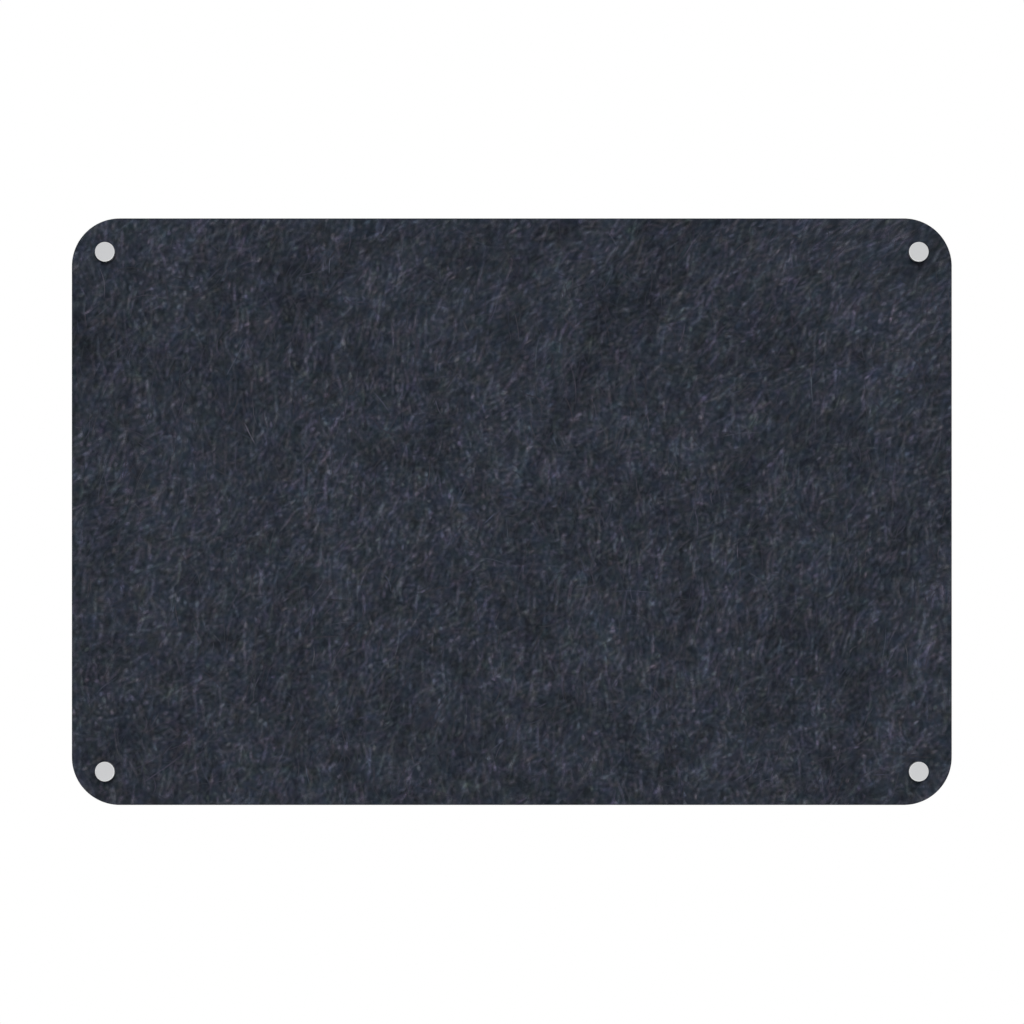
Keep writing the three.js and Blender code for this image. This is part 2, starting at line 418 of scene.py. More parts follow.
def maths(tree, operation, first, second=0.0):
    return node(tree, "Math", {0: first, 1: second}, operation=operation).outputs[0]


def ranged(tree, value, low, high, to_low, to_high, kind="LINEAR"):
    inputs = {"Value": value, "From Min": low, "From Max": high, "To Min": to_low, "To Max": to_high}
    return node(tree, "MapRange", inputs, interpolation_type=kind).outputs[0]


def noise_value(tree, vector, scale, detail=2, roughness=0.5, dimensions="3D"):
    inputs = {"Vector": vector, "Scale": scale, "Detail": detail, "Roughness": roughness}
    return node(tree, "TexNoise", inputs, noise_dimensions=dimensions).outputs[0]


def new_material(name, **values):
    material = bpy.data.materials.new(name)
    material.use_nodes = True
    shader = material.node_tree.nodes["Principled BSDF"]
    for key, value in values.items():
        shader.inputs[key.replace("_", " ")].default_value = value
    return material, material.node_tree, shader


def bump(tree, shader, height, distance, strength=1.0):
    made = node(tree, "Bump", {"Height": height, "Distance": distance, "Strength": strength})
    tree.links.new(made.outputs[0], shader.inputs["Normal"])


def object_place(tree):
    return node(tree, "TexCoord").outputs["Object"]


# Studio

def add_area_light(name, place, side, power):
    data = bpy.data.lights.new(name, "AREA")
    data.size = side
    data.energy = power
    light = collection_object(name, data)
    light.location = place
    light.rotation_euler = Vector(place).to_track_quat("Z", "Y").to_euler()
    light.visible_glossy = False


def add_world():
    bpy.context.scene.view_settings.view_transform = "Standard"
    world = bpy.data.worlds.new("studio")
    world.use_nodes = True
    bpy.context.scene.world = world
    tree = world.node_tree
    path = node(tree, "LightPath")
    seen = maths(tree, "MAXIMUM", path.outputs["Is Camera Ray"], path.outputs["Is Glossy Ray"])
    seen = maths(tree, "MAXIMUM", seen, path.outputs["Is Transmission Ray"])
    strength = ranged(tree, seen, 0, 1, AMBIENT_STRENGTH, BACKGROUND_STRENGTH)
    background = tree.nodes["Background"]
    background.inputs["Color"].default_value = (1, 1, 1, 1)
    tree.links.new(strength, background.inputs["Strength"])


def add_floor():
    """A pale round floor that fades out towards its rim and is clear from below."""
    points = [(0, 0, FLOOR_Z)]
    for side in range(FLOOR_SIDES):
        angle = FULL_TURN * side / FLOOR_SIDES
        points.append((FLOOR_RADIUS * math.cos(angle), FLOOR_RADIUS * math.sin(angle), FLOOR_Z))
    faces = [(0, 1 + side, 1 + (side + 1) % FLOOR_SIDES) for side in range(FLOOR_SIDES)]
    floor = collection_object("floor", mesh_of("floor", points, faces))
    material, tree, shader = new_material("floor", Roughness=FLOOR_ROUGHNESS)
    shader.inputs["Base Color"].default_value = (*FLOOR_COLOUR, 1)
    place = node(tree, "VectorMath", {0: object_place(tree), 1: (1, 1, 0)}, operation="MULTIPLY")
    radius = node(tree, "VectorMath", {0: place.outputs[0]}, operation="LENGTH").outputs["Value"]
    fade = ranged(tree, radius, FLOOR_FADE_START, FLOOR_RADIUS, 1, 0, "SMOOTHSTEP")
    below = node(tree, "NewGeometry").outputs["Backfacing"]
    solid = maths(tree, "MULTIPLY", fade, maths(tree, "SUBTRACT", 1.0, below))
    tree.links.new(solid, shader.inputs["Alpha"])
    floor.data.materials.append(material)


# Felt surfaces

def relief_at(x, z):
    """How far the felt's surface rises over its nominal plane."""
    nearest = np.hypot(fixing_points[:, 0] - x, fixing_points[:, 1] - z).min()
    pressed = washer_radius + PRESSED_MARGIN
    free = float(smoothstep(nearest, pressed, pressed + LOFT_RISE))
    rise = LOFT
    for layer, (size, height) in enumerate(RELIEF):
        rise += height * noise.noise(Vector((x / size, z / size, RELIEF_SHIFT * layer)))
    return free * rise


def board_outline(inset, step):
    """(x, z) points round the board's edge and this far inside it, anticlockwise from the right."""
    radius = CORNER_RADIUS - inset
    inner_x = half_width - CORNER_RADIUS
    inner_z = half_height - CORNER_RADIUS
    arc_steps = math.ceil(CORNER_RADIUS * QUARTER_TURN / step)
    centres = ((inner_x, inner_z), (-inner_x, inner_z), (-inner_x, -inner_z), (inner_x, -inner_z))
    points = []
    for quarter, (x, z) in enumerate(centres):
        for i in range(arc_steps + 1):
            angle = (quarter + i / arc_steps) * QUARTER_TURN
            points.append(Vector((x + radius * math.cos(angle), z + radius * math.sin(angle))))
        length = 2 * (inner_x if quarter % 2 == 0 else inner_z)
        edge_steps = math.ceil(length / step)
        along = Vector((math.cos(angle + QUARTER_TURN), math.sin(angle + QUARTER_TURN)))
        start = points[-1]
        for i in range(1, edge_steps):
            points.append(start + along * (length * i / edge_steps))
    return points


def hole_outline(centre):
    points = []
    for i in range(HOLE_POINTS):
        angle = FULL_TURN * i / HOLE_POINTS
        points.append(Vector((centre[0] + STUD_HOLE_RADIUS * math.cos(angle),
                              centre[1] + STUD_HOLE_RADIUS * math.sin(angle))))
    return points


def inner_points(step, seed):
    """Jittered points of a triangular grid, clear of the board's edge and of its holes."""
    rng = np.random.default_rng(seed)
    row_step = step * math.sqrt(3) / 2
    columns = np.arange(-half_width, half_width, step)
    rows = np.arange(-half_height, half_height, row_step)
    x, z = np.meshgrid(columns, rows)
    x[1::2] += step / 2
    x = x + rng.uniform(-POINT_JITTER, POINT_JITTER, x.shape) * step
    z = z + rng.uniform(-POINT_JITTER, POINT_JITTER, z.shape) * step
    past_x = np.maximum(np.abs(x) - (half_width - CORNER_RADIUS), 0)
    past_z = np.maximum(np.abs(z) - (half_height - CORNER_RADIUS), 0)
    margin = EDGE_ROUNDING + min(step, OUTLINE_STEP) / 2
    keep = np.hypot(past_x, past_z) < CORNER_RADIUS - margin
    for fixing_x, fixing_z in fixing_points:
        keep &= np.hypot(x - fixing_x, z - fixing_z) > STUD_HOLE_RADIUS + margin / 2
    return [Vector(p) for p in zip(x[keep], z[keep])]


def flat_face(rim, holes, step, seed):
    """Triangles that fill the rim round the holes. Returns points, rim first and then holes, and faces."""
    points = list(rim)
    edges = [(i, (i + 1) % len(rim)) for i in range(len(rim))]
    for hole in holes:
        first = len(points)
        points += hole
        edges += [(first + i, first + (i + 1) % len(hole)) for i in range(len(hole))]
    points += inner_points(step, seed)
    found, _, faces, sources, _, _ = delaunay_2d_cdt(points, edges, [], 1, MERGE_DISTANCE, True)
    source = [s[0] for s in sources]
    kept = []
    for face in faces:
        middle = sum((found[i] for i in face), Vector((0, 0))) / len(face)
        if all((middle - Vector(p)).length > STUD_HOLE_RADIUS for p in fixing_points):
            kept.append([source[i] for i in face])
    return points, kept


def board_layer(name, low, high, front_step, rear_step):
    """A closed layer of the board. Surfaces with a fine step get the felt's relief."""
    front_y, rear_y = low.y, high.y
    rim = board_outline(EDGE_ROUNDING, OUTLINE_STEP)
    edge = board_outline(0, OUTLINE_STEP)
    holes = [hole_outline(p) for p in fixing_points]
    points, faces, kinds = [], [], []
    sheets = []
    for y, step, sign, seed in ((front_y, front_step, -1, 1), (rear_y, rear_step, 1, 2)):
        flat, triangles = flat_face(rim, holes, step, seed)
        first = len(points)
        for p in flat:
            rise = relief_at(p.x, p.y) if step < HIDDEN_STEP else 0
            points.append((p.x, y + sign * rise, p.y))
        faces += [[first + i for i in t] for t in triangles]
        kinds += [FACE_MATERIAL] * len(triangles)
        sheets.append(first)
    # The cut edge, as rows from front to rear
    rows = max(2, round((rear_y - front_y) / EDGE_ROW))
    loops = [list(range(sheets[0], sheets[0] + len(rim)))]
    for row in range(rows + 1):
        share = row / rows
        y = front_y + EDGE_ROUNDING + share * (rear_y - front_y - 2 * EDGE_ROUNDING)
        first = len(points)
        for p in edge:
            out = p.normalized()
            wave = noise.noise(Vector((p.x, y * EDGE_RELIEF_STRETCH, p.y)) / EDGE_RELIEF_SIZE)
            sunk = EDGE_RELIEF * (wave - 1) / 2
            points.append((p.x + out.x * sunk, y, p.y + out.y * sunk))
        loops.append(list(range(first, first + len(edge))))
    loops.append(list(range(sheets[1], sheets[1] + len(rim))))
    for row, (upper, lower) in enumerate(zip(loops, loops[1:])):
        # The first and last rows are the rounded lip, which gets the darker lip colour: painted shade
        # round the board
        is_lip = row in (0, len(loops) - 2)
        for i in range(len(upper)):
            j = (i + 1) % len(upper)
            faces.append([upper[i], upper[j], lower[j], lower[i]])
            kinds.append(LIP_MATERIAL if is_lip else EDGE_MATERIAL)
    # The walls of the stud holes
    for hole in range(len(holes)):
        offset = len(rim) + hole * HOLE_POINTS
        for i in range(HOLE_POINTS):
            j = (i + 1) % HOLE_POINTS
            faces.append([sheets[0] + offset + i, sheets[0] + offset + j,
                          sheets[1] + offset + j, sheets[1] + offset + i])
            kinds.append(EDGE_MATERIAL)
    mesh = mesh_of(name, points, faces)
    mesh.polygons.foreach_set("material_index", kinds)
    with_outward_faces(mesh)
    return collection_object(name, smooth_by_angle(mesh, BOARD_CREASE_ANGLE))


# Felt materials

def board_plane(tree):
    parts = node(tree, "SeparateXYZ", {0: object_place(tree)})
    return node(tree, "CombineXYZ", {0: parts.outputs["X"], 1: parts.outputs["Z"]}).outputs[0]


def leant_over(tree, place):
    """The place, moved so that the pattern on it leans over beyond the line."""
    parts = node(tree, "SeparateXYZ", {0: place}).outputs
    height = maths(tree, "ADD", parts["Y"], maths(tree, "MULTIPLY", parts["X"], LEAN_SLANT))
    beyond = maths(tree, "MAXIMUM", maths(tree, "SUBTRACT", height, LEAN_LINE))
    shift = maths(tree, "MULTIPLY", maths(tree, "POWER", beyond, 2.0), LEAN_RATE)
    across = maths(tree, "SUBTRACT", parts["X"], shift)
    return node(tree, "CombineXYZ", {0: across, 1: parts["Y"]}).outputs[0]


def warped(tree, place, scale, reach):
    inputs = {"Vector": place, "Scale": scale, "Detail": 1.0}
    field = node(tree, "TexNoise", inputs, noise_dimensions="2D").outputs["Color"]
    centred = node(tree, "VectorMath", {0: field, 1: (NOISE_MIDDLE,) * 3}, operation="SUBTRACT")
    moved = node(tree, "VectorMath", {0: centred.outputs[0], 3: reach}, operation="SCALE")
    return node(tree, "VectorMath", {0: place, 1: moved.outputs[0]}, operation="ADD").outputs[0]


def spread_about(tree, value, middle, share):
    return ranged(tree, value, 0, 1, middle * (1 - share), middle * (1 + share))


def fibre_layer(tree, place, index, angle, width, length, weight, rarity):
    """One layer's tone and colour: a spindle in each cell of a stretched pattern, each with its own."""
    inputs = {
        "Vector": place,
        "Location": (*(shift * index for shift in LAYER_PATTERN_SHIFT), 0),
        "Rotation": (0, 0, math.radians(angle)),
        "Scale": (width * MM, length * MM, 1),
    }
    cell = node(tree, "Mapping", inputs, vector_type="TEXTURE").outputs[0]
    spots = node(tree, "TexVoronoi", {"Vector": cell, "Scale": 1}, voronoi_dimensions="2D")
    body = ranged(
        tree, spots.outputs["Distance"], SPINDLE_START_SHARE, SPINDLE_END_SHARE, 1, 0, "SMOOTHSTEP"
    )
    parts = node(tree, "SeparateColor", {0: spots.outputs["Color"]})
    share = maths(tree, "MULTIPLY", maths(tree, "POWER", parts.outputs[0], rarity), weight)
    tone = maths(tree, "MULTIPLY", body, share)
    red = spread_about(tree, parts.outputs[1], STRAND[0], STRAND_RED_SPREAD)
    alike = maths(tree, "MULTIPLY", parts.outputs[1], STRAND_ALIKE_SHARE)
    unlike = maths(tree, "MULTIPLY", parts.outputs[2], 1 - STRAND_ALIKE_SHARE)
    blue = spread_about(tree, maths(tree, "ADD", alike, unlike), STRAND[2], STRAND_BLUE_SPREAD)
    tint = node(tree, "CombineXYZ", {0: red, 1: STRAND[1], 2: blue}).outputs[0]
    return tone, lit(tree, tint, tone)


def felt_tangle(tree, place):
    """The sum of the layers' tones, and of their colours."""
    for scale, reach in LAYER_WARPS:
        place = warped(tree, place, scale, reach)
    tones, colours = [], []
    for index, layer in enumerate(FIBRE_LAYERS):
        tone, colour = fibre_layer(tree, place, index, *layer)
        tones.append(tone)
        colours.append(colour)
    total, colour = tones[0], colours[0]
    for more in tones[1:]:
        total = maths(tree, "ADD", total, more)
    for more in colours[1:]:
        colour = node(tree, "VectorMath", {0: colour, 1: more}, operation="ADD").outputs[0]
    return total, colour


def fine_fibres(tree, place):
    """Hair-fine fibres that only a near view shows: 1 along each, 0 between them."""
    total = 0.0
    for index, angle in enumerate(FINE_ANGLES):
        inputs = {
            "Vector": place,
            "Location": (*(shift * index for shift in FINE_PATTERN_SHIFT), 0),
            "Rotation": (0, 0, math.radians(angle)),
            "Scale": (*FINE_CELL, 1),
        }
        along = node(tree, "Mapping", inputs, vector_type="TEXTURE").outputs[0]
        wave = noise_value(tree, along, 1, 1, FINE_WAVE_ROUGHNESS, "2D")
        off_line = maths(tree, "ABSOLUTE", maths(tree, "SUBTRACT", wave, NOISE_MIDDLE))
        line = ranged(tree, off_line, 0, FINE_LINE_SHARE, 1, 0, "SMOOTHSTEP")
        total = maths(tree, "MAXIMUM", total, line)
    return total


def mottle(tree, place):
    """Light and dark patches of several sizes, about 1."""
    inputs = {"Vector": place, "Rotation": (0, 0, MOTTLE_LEAN), "Scale": (1, MOTTLE_STRETCH, 1)}
    place = node(tree, "Mapping", inputs, vector_type="TEXTURE").outputs[0]
    total = 1.0
    for scale, reach in MOTTLE_LAYERS:
        value = noise_value(tree, place, scale, 1, dimensions="2D")
        value = maths(tree, "MULTIPLY", maths(tree, "SUBTRACT", value, NOISE_MIDDLE), reach)
        total = maths(tree, "ADD", total, value)
    pores = noise_value(tree, place, PORE_SCALE, 1, dimensions="2D")
    pores = ranged(tree, pores, *PORE_RANGE, *PORE_TONES, "SMOOTHSTEP")
    return maths(tree, "MULTIPLY", total, pores)


def lit(tree, colour, factor):
    inputs = {0: colour, 3: factor}
    return node(tree, "VectorMath", inputs, operation="SCALE").outputs[0]


def felt_material():
    material, tree, shader = new_material("felt", Roughness=FELT_ROUGHNESS)
    shader.inputs["Specular IOR Level"].default_value = FELT_SPECULAR
    shader.inputs["Sheen Weight"].default_value = FELT_SHEEN
    shader.inputs["Sheen Roughness"].default_value = FELT_SHEEN_ROUGHNESS
    place = leant_over(tree, board_plane(tree))
    fine = fine_fibres(tree, warped(tree, place, *FINE_WARP))
    tangle, colour = felt_tangle(tree, place)
    hairy = lit(tree, colour, ranged(tree, fine, 0, 1, *STRAND_HAIR_TONES))
    ground = node(tree, "VectorMath", {0: hairy, 1: FELT_GROUND}, operation="ADD").outputs[0]
    inputs = {
        "Vector": place,
        "Scale": DRIFT_SCALE,
        "Detail": DRIFT_DETAIL,
        "Roughness": DRIFT_ROUGHNESS,
    }
    drift = node(tree, "TexNoise", inputs, noise_dimensions="2D").outputs["Color"]
    middle = tuple(1 - reach / 2 for reach in DRIFT_REACH)
    inputs = {0: drift, 1: DRIFT_REACH, 2: middle}
    drift = node(tree, "VectorMath", inputs, operation="MULTIPLY_ADD").outputs[0]
    tinted = node(tree, "VectorMath", {0: ground, 1: drift}, operation="MULTIPLY").outputs[0]
    tone = maths(tree, "MULTIPLY", mottle(tree, place), ranged(tree, fine, 0, 1, *FINE_TONES))
    tree.links.new(lit(tree, tinted, tone), shader.inputs["Base Color"])
    height = maths(tree, "ADD", tangle, maths(tree, "MULTIPLY", fine, FINE_HEIGHT_SHARE))
    bump(tree, shader, height, FELT_BUMP)
    return material


def cut_edge_material(name, colour):
    material, tree, shader = new_material(name, Roughness=FELT_ROUGHNESS)
    shader.inputs["Specular IOR Level"].default_value = CUT_EDGE_SPECULAR
    inputs = {"Vector": object_place(tree), "Scale": (1, CUT_EDGE_STRETCH, 1)}
    place = node(tree, "Mapping", inputs).outputs[0]
    grain = 0.0
    for scale, detail, strength in CUT_EDGE_GRAINS:
        value = noise_value(tree, place, scale, detail, GRAIN_ROUGHNESS)
        grain = maths(tree, "ADD", grain, maths(tree, "MULTIPLY", value, strength))
    tree.links.new(lit(tree, colour, grain), shader.inputs["Base Color"])
    bump(tree, shader, grain, CUT_EDGE_BUMP)
    return material


def loose_fibre_material():
    material, tree, shader = new_material("felt_fibre", Roughness=FIBRE_ROUGHNESS)
    shader.inputs["Specular IOR Level"].default_value = FIBRE_SPECULAR
    shader.inputs["Sheen Weight"].default_value = FIBRE_SHEEN
    tint = node(tree, "Attribute", attribute_name="tint").outputs["Color"]
    speckle = noise_value(tree, object_place(tree), FIBRE_SPECKLE_SCALE, 1)
    light = ranged(tree, speckle, *NOISE_RANGE, *FIBRE_SPECKLE_TONES)
    tree.links.new(lit(tree, tint, light), shader.inputs["Base Color"])
    return material


# Loose fibres

def fibre_paths(count, rng):
    """(count, FIBRE_RINGS, 2) points of curving fibres."""
    spread = np.exp(rng.normal(0, FIBRE_LENGTH_SPREAD, count))
    length = np.clip(FIBRE_LENGTH * spread, *FIBRE_LENGTHS)
    leaning = rng.normal(FIBRE_LEAN, FIBRE_LEAN_SPREAD, count)
    free = rng.uniform(0, math.pi, count)
    start = rng.uniform((-half_width, -half_height), (half_width, half_height), (count, 2))
    swirl = [noise.noise(Vector((x, z, 0)) / SWIRL_SIZE) for x, z in start]
    leaning += SWIRL * np.array(swirl)
    heading = np.where(rng.random(count) < LEANING_SHARE, leaning, free)
    bend = rng.normal(0, FIBRE_BEND, count)
    curled = rng.random(count) < CURL_SHARE
    curl = rng.choice((-1, 1), count) * CURL_BEND * rng.uniform(*CURL_RANGE, count)
    bend = np.where(curled, curl, bend)
    share = np.linspace(-0.5, 0.5, FIBRE_RINGS - 1)
    kink = rng.normal(0, FIBRE_KINK, count)
    turn = heading[:, None] + bend[:, None] * share + (kink[:, None] * np.sin(share * FULL_TURN))
    step = (length / (FIBRE_RINGS - 1))[:, None]
    moves = np.stack((np.cos(turn) * step, np.sin(turn) * step), 2)
    path = np.concatenate((np.zeros((count, 1, 2)), np.cumsum(moves, 1)), 1)
    return path + (start - path.mean(1))[:, None]


def bundled(paths, rng):
    """Each path as a bundle of fibres that run beside it and drift a little apart."""
    along = np.gradient(paths, axis=1)
    along /= np.linalg.norm(along, axis=2, keepdims=True)
    across = np.stack((-along[..., 1], along[..., 0]), 2)
    share = np.linspace(-1, 1, FIBRE_RINGS)
    fibres = []
    for _ in range(BUNDLE):
        offset = rng.normal(0, BUNDLE_SPREAD, (2, len(paths), 1))
        slid = rng.normal(0, BUNDLE_SPREAD * FIBRE_RINGS, (len(paths), 1, 1))
        sideways = offset[0] + offset[1] * share
        fibres.append(paths + across * sideways[..., None] + along * slid)
    return np.stack(fibres, 1).reshape(-1, FIBRE_RINGS, 2)


def inside_board(path):
    """Which fibres lie on the felt, clear of its edge and of the washers."""
    past_x = np.maximum(np.abs(path[..., 0]) - (half_width - CORNER_RADIUS), 0)
    past_z = np.maximum(np.abs(path[..., 1]) - (half_height - CORNER_RADIUS), 0)
    keep = (np.hypot(past_x, past_z) < CORNER_RADIUS - FIBRE_EDGE_MARGIN).all(1)
    for point in fixing_points:
        gap = np.linalg.norm(path - point, axis=2)
        keep &= (gap > washer_radius + FIBRE_EDGE_MARGIN).all(1)
    return keep


def loose_fibres(name, count, plane_y, facing, seed):
    """Thin three-sided fibres that dip into the felt at both ends."""
    rng = np.random.default_rng(seed)
    path = bundled(fibre_paths(int(count * FIBRE_SPARE_SHARE / BUNDLE), rng), rng)
    keep = np.nonzero(inside_board(path))[0][:count]
    bundle = keep // BUNDLE
    path = path[keep]
    count = len(path)
    along = np.gradient(path, axis=1)
    along /= np.linalg.norm(along, axis=2, keepdims=True)
    across = np.stack((-along[..., 1], along[..., 0]), 2)
    share = np.linspace(0, 1, FIBRE_RINGS)
    bow = np.sin(share * math.pi)
    width = FIBRE_WIDTH * np.exp(rng.normal(0, FIBRE_WIDTH_SPREAD, count))[:, None]
    width = width * (FIBRE_TIP_SHARE + (1 - FIBRE_TIP_SHARE) * np.sqrt(bow))
    relief = np.array([[relief_at(x, z) for x, z in fibre] for fibre in path])
    dips = np.sin(FULL_TURN * (share * FIBRE_DIPS + rng.random(count)[:, None]))
    rise = (FIBRE_RISE + FIBRE_SINK) * bow * (1 - FIBRE_DIP_SHARE + FIBRE_DIP_SHARE * dips) - FIBRE_SINK
    base = relief + rise
    left = path + across * (width / 2)[..., None]
    right = path - across * (width / 2)[..., None]
    crest = base + width * FIBRE_HEIGHT_SHARE
    rings = np.empty((count, FIBRE_RINGS, FIBRE_SIDES, 3))
    for corner, (plan, height) in enumerate(((left, base), (path, crest), (right, base))):
        rings[:, :, corner, 0] = plan[..., 0]
        rings[:, :, corner, 1] = plane_y + facing * height
        rings[:, :, corner, 2] = plan[..., 1]
    faces = []
    for fibre in range(count):
        first = fibre * FIBRE_RINGS * FIBRE_SIDES
        last = first + (FIBRE_RINGS - 1) * FIBRE_SIDES
        for ring in range(first, last, FIBRE_SIDES):
            following = ring + FIBRE_SIDES
            for corner in range(FIBRE_SIDES):
                other = (corner + 1) % FIBRE_SIDES
                faces.append((ring + corner, ring + other, following + other, following + corner))
        faces.append((first + 2, first + 1, first))
        faces.append((last, last + 1, last + 2))
    mesh = mesh_of(name, rings.reshape(-1, 3), faces)
    tone = FIBRE_TONE + rng.gamma(*FIBRE_TONE_SPREAD, bundle.max() + 1)
    tint = np.ones((len(tone), 4))
    tint[:, :3] = np.array(STRAND) * tone[:, None]
    tint[:, 0] *= 1 + FIBRE_TINT_SPREAD * rng.uniform(*FIBRE_RED_RANGE, len(tone))
    tint[:, 2] *= 1 + FIBRE_TINT_SPREAD * rng.uniform(*FIBRE_BLUE_RANGE, len(tone))
    data = mesh.attributes.new("tint", "FLOAT_COLOR", "POINT")
    each = np.repeat(tint[bundle], FIBRE_RINGS * FIBRE_SIDES, 0)
    data.data.foreach_set("color", each.ravel().astype(np.float32))
    with_outward_faces(mesh)
    return collection_object(name, smooth_by_angle(mesh, FIBRE_CREASE_ANGLE))


def dress(piece, materials, body, nodes):
    for material in materials:
        piece.data.materials.append(material)
    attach(piece, body)
    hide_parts(*nodes)


def add_board():
    felt = felt_material()
    felt_edge = cut_edge_material("felt_edge", FELT_EDGE_COLOUR)
    felt_lip_painted_shade = cut_edge_material("felt_lip_painted_shade", FELT_LIP_SHADE_COLOUR)
    core = cut_edge_material("core", CORE_COLOUR)
    fibre = loose_fibre_material()
    face = board_layer("felt_sheet", face_low, face_high, FACE_STEP, HIDDEN_STEP)
    dress(face, (felt, felt_edge, felt_lip_painted_shade), "board", ["felt_face"])
    middle = board_layer("board_core", core_low, core_high, HIDDEN_STEP, HIDDEN_STEP)
    dress(middle, (core, core, core), "board", ["pin_core"])
    back = board_layer("felt_backing", back_low, back_high, HIDDEN_STEP, BACK_STEP)
    dress(back, (felt, felt_edge, felt_lip_painted_shade), "board", ["felt_back"])
    for index in range(FACE_FIBRE_SETS):
        name = f"face_fibres_{index + 1}"
        fibres = loose_fibres(name, FACE_FIBRES, face_low.y, -1, FACE_FIBRE_SEED + index)
        dress(fibres, (fibre,), "board", ["felt_face"])
    fibres = loose_fibres("back_fibres", BACK_FIBRES, back_high.y, 1, BACK_FIBRE_SEED)
    dress(fibres, (fibre,), "board", ["felt_back"])


# Turned and cut solids

def rounded(outline, rounding, is_tube):
    """The outline with each of its corners replaced by a short curve."""
    points = []
    for i, corner in enumerate(outline):
        here = Vector(corner)
        if not is_tube and i in (0, len(outline) - 1):
            points.append(here)
            continue
        before = Vector(outline[i - 1]) - here
        after = Vector(outline[(i + 1) % len(outline)]) - here
        reach = min(rounding, *(side.length * ROUNDED_SHARE for side in (before, after)))
        start = here + before.normalized() * reach
        end = here + after.normalized() * reach
        for step in range(CORNER_STEPS + 1):
            share = step / CORNER_STEPS
            points.append(start.lerp(here, share).lerp(here.lerp(end, share), share))
    return points


def turned(outline, rounding, sides=TURNED_SIDES, is_tube=False):
    """An outline of (radius, y) corners turned about the Y axis."""
    ring = rounded(outline, rounding, is_tube)
    points, faces = [], []
    for side in range(sides):
        angle = FULL_TURN * side / sides
        points += [(radius * math.cos(angle), y, radius * math.sin(angle)) for radius, y in ring]
        here = side * len(ring)
        there = (side + 1) % sides * len(ring)
        for i in range(len(ring) if is_tube else len(ring) - 1):
            j = (i + 1) % len(ring)
            faces.append((here + i, here + j, there + j, there + i))
    return with_outward_faces(mesh_of("turned", points, faces), merges=True)


def prism(outline, front, rear, rear_scale=1):
    """A solid with this outline of (x, z) corners, which may narrow towards the rear."""
    count = len(outline)
    points = [(x, front, z) for x, z in outline]
    points += [(x * rear_scale, rear, z * rear_scale) for x, z in outline]
    faces = [range(count), range(count, 2 * count)]
    for i in range(count):
        j = (i + 1) % count
        faces.append((i, j, count + j, count + i))
    return with_outward_faces(mesh_of("prism", points, faces), merges=True)


def rectangle(width, height):
    x, z = width / 2, height / 2
    return ((-x, -z), (x, -z), (x, z), (-x, z))


def threaded_rod(thread, pitch, front, rear, limit, sides=SLIM_SIDES):
    """A right-hand thread of (share of the pitch, radius) lines. No radius is over limit(y)."""
    turns = math.ceil((rear - front) / pitch) + SPARE_TURNS
    lines = [((turn + share) * pitch, radius) for turn in range(turns) for share, radius in thread]
    points, faces = [], []
    for column in range(sides):
        angle = FULL_TURN * column / sides
        start = front - pitch * (1 + column / sides)
        for offset, line_radius in lines:
            y = min(max(start + offset, front), rear)
            radius = min(line_radius, limit(y))
            points.append((radius * math.cos(angle), y, radius * math.sin(angle)))
        here = column * len(lines)
        there = here + len(lines) if column < sides - 1 else -len(thread)
        for line in range(max(0, -there), len(lines) - 1):
            faces.append((here + line, here + line + 1, there + line + 1, there + line))
    mesh = mesh_of("thread", points, faces)
    shape = bmesh.new()
    shape.from_mesh(mesh)
    bmesh.ops.remove_doubles(shape, verts=shape.verts, dist=MERGE_DISTANCE)
    bmesh.ops.holes_fill(shape, edges=[edge for edge in shape.edges if edge.is_boundary])
    shape.to_mesh(mesh)
    shape.free()
    return with_outward_faces(mesh, merges=True)


def combined(mesh, operation, others):
    """The mesh joined with the others, or cut by them."""
    target = collection_object("target", mesh)
    helpers = [collection_object("helper", other) for other in others]
    for helper in helpers:
        modifier = target.modifiers.new("combine", "BOOLEAN")
        modifier.operation = operation
        modifier.solver = "EXACT"
        modifier.object = helper
    graph = bpy.context.evaluated_depsgraph_get()
    result = bpy.data.meshes.new_from_object(target.evaluated_get(graph))
    for used in (target, *helpers):
        bpy.data.objects.remove(used)
    return with_outward_faces(result, merges=True)


# The fixings' pieces

def reach_of(node):
    """The y of a node's front and rear."""
    low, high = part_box(node)
    return low.y, high.y


def cap_mesh():
    front, rear = reach_of("top_left_cap")
    inner = STAND_OFF_RADIUS - CAP_FRONT_CHAMFER
    outline = (
        (0, front),
        (inner, front + CAP_CROWN),
        (STAND_OFF_RADIUS, front + CAP_FRONT_CHAMFER),
        (STAND_OFF_RADIUS, rear - CAP_REAR_CHAMFER),
        (STAND_OFF_RADIUS - CAP_REAR_CHAMFER, rear),
        (TAPPED_HOLE_RADIUS, rear),
        (TAPPED_HOLE_RADIUS, rear - CAP_HOLE_DEPTH),
        (0, rear - CAP_HOLE_DEPTH),
    )
    mesh = turned(outline, METAL_ROUNDING)
    # The front chamfer gets a lighter colour than the rest: a polished turned edge, and partly a painted
    # highlight round the disc's rim
    for face in mesh.polygons:
        radius = math.hypot(face.center.x, face.center.z)
        on_chamfer = radius > inner - METAL_ROUNDING and face.center.y < front + CAP_FRONT_CHAMFER
        face.material_index = 1 if on_chamfer else 0
    return mesh


def stud_mesh():
    front, rear = reach_of("top_left_stud")
    thread = (
        (0, STUD_ROOT_RADIUS),
        (ROOT_END_SHARE, STUD_ROOT_RADIUS),
        (CREST_START_SHARE, STUD_CREST_RADIUS),
        (CREST_END_SHARE, STUD_CREST_RADIUS),
    )
    rod = threaded_rod(
        thread, STUD_PITCH, front, rear, lambda y: STUD_END_RADIUS + min(y - front, rear - y)
    )
    socket = []
    reach = SOCKET_ACROSS_FLATS / math.sqrt(3)
    for corner in range(SOCKET_SIDES):
        angle = FULL_TURN * corner / SOCKET_SIDES
        socket.append((reach * math.cos(angle), reach * math.sin(angle)))
    return combined(rod, "DIFFERENCE", [prism(socket, rear - SOCKET_DEPTH, rear + CUT_OVERRUN)])


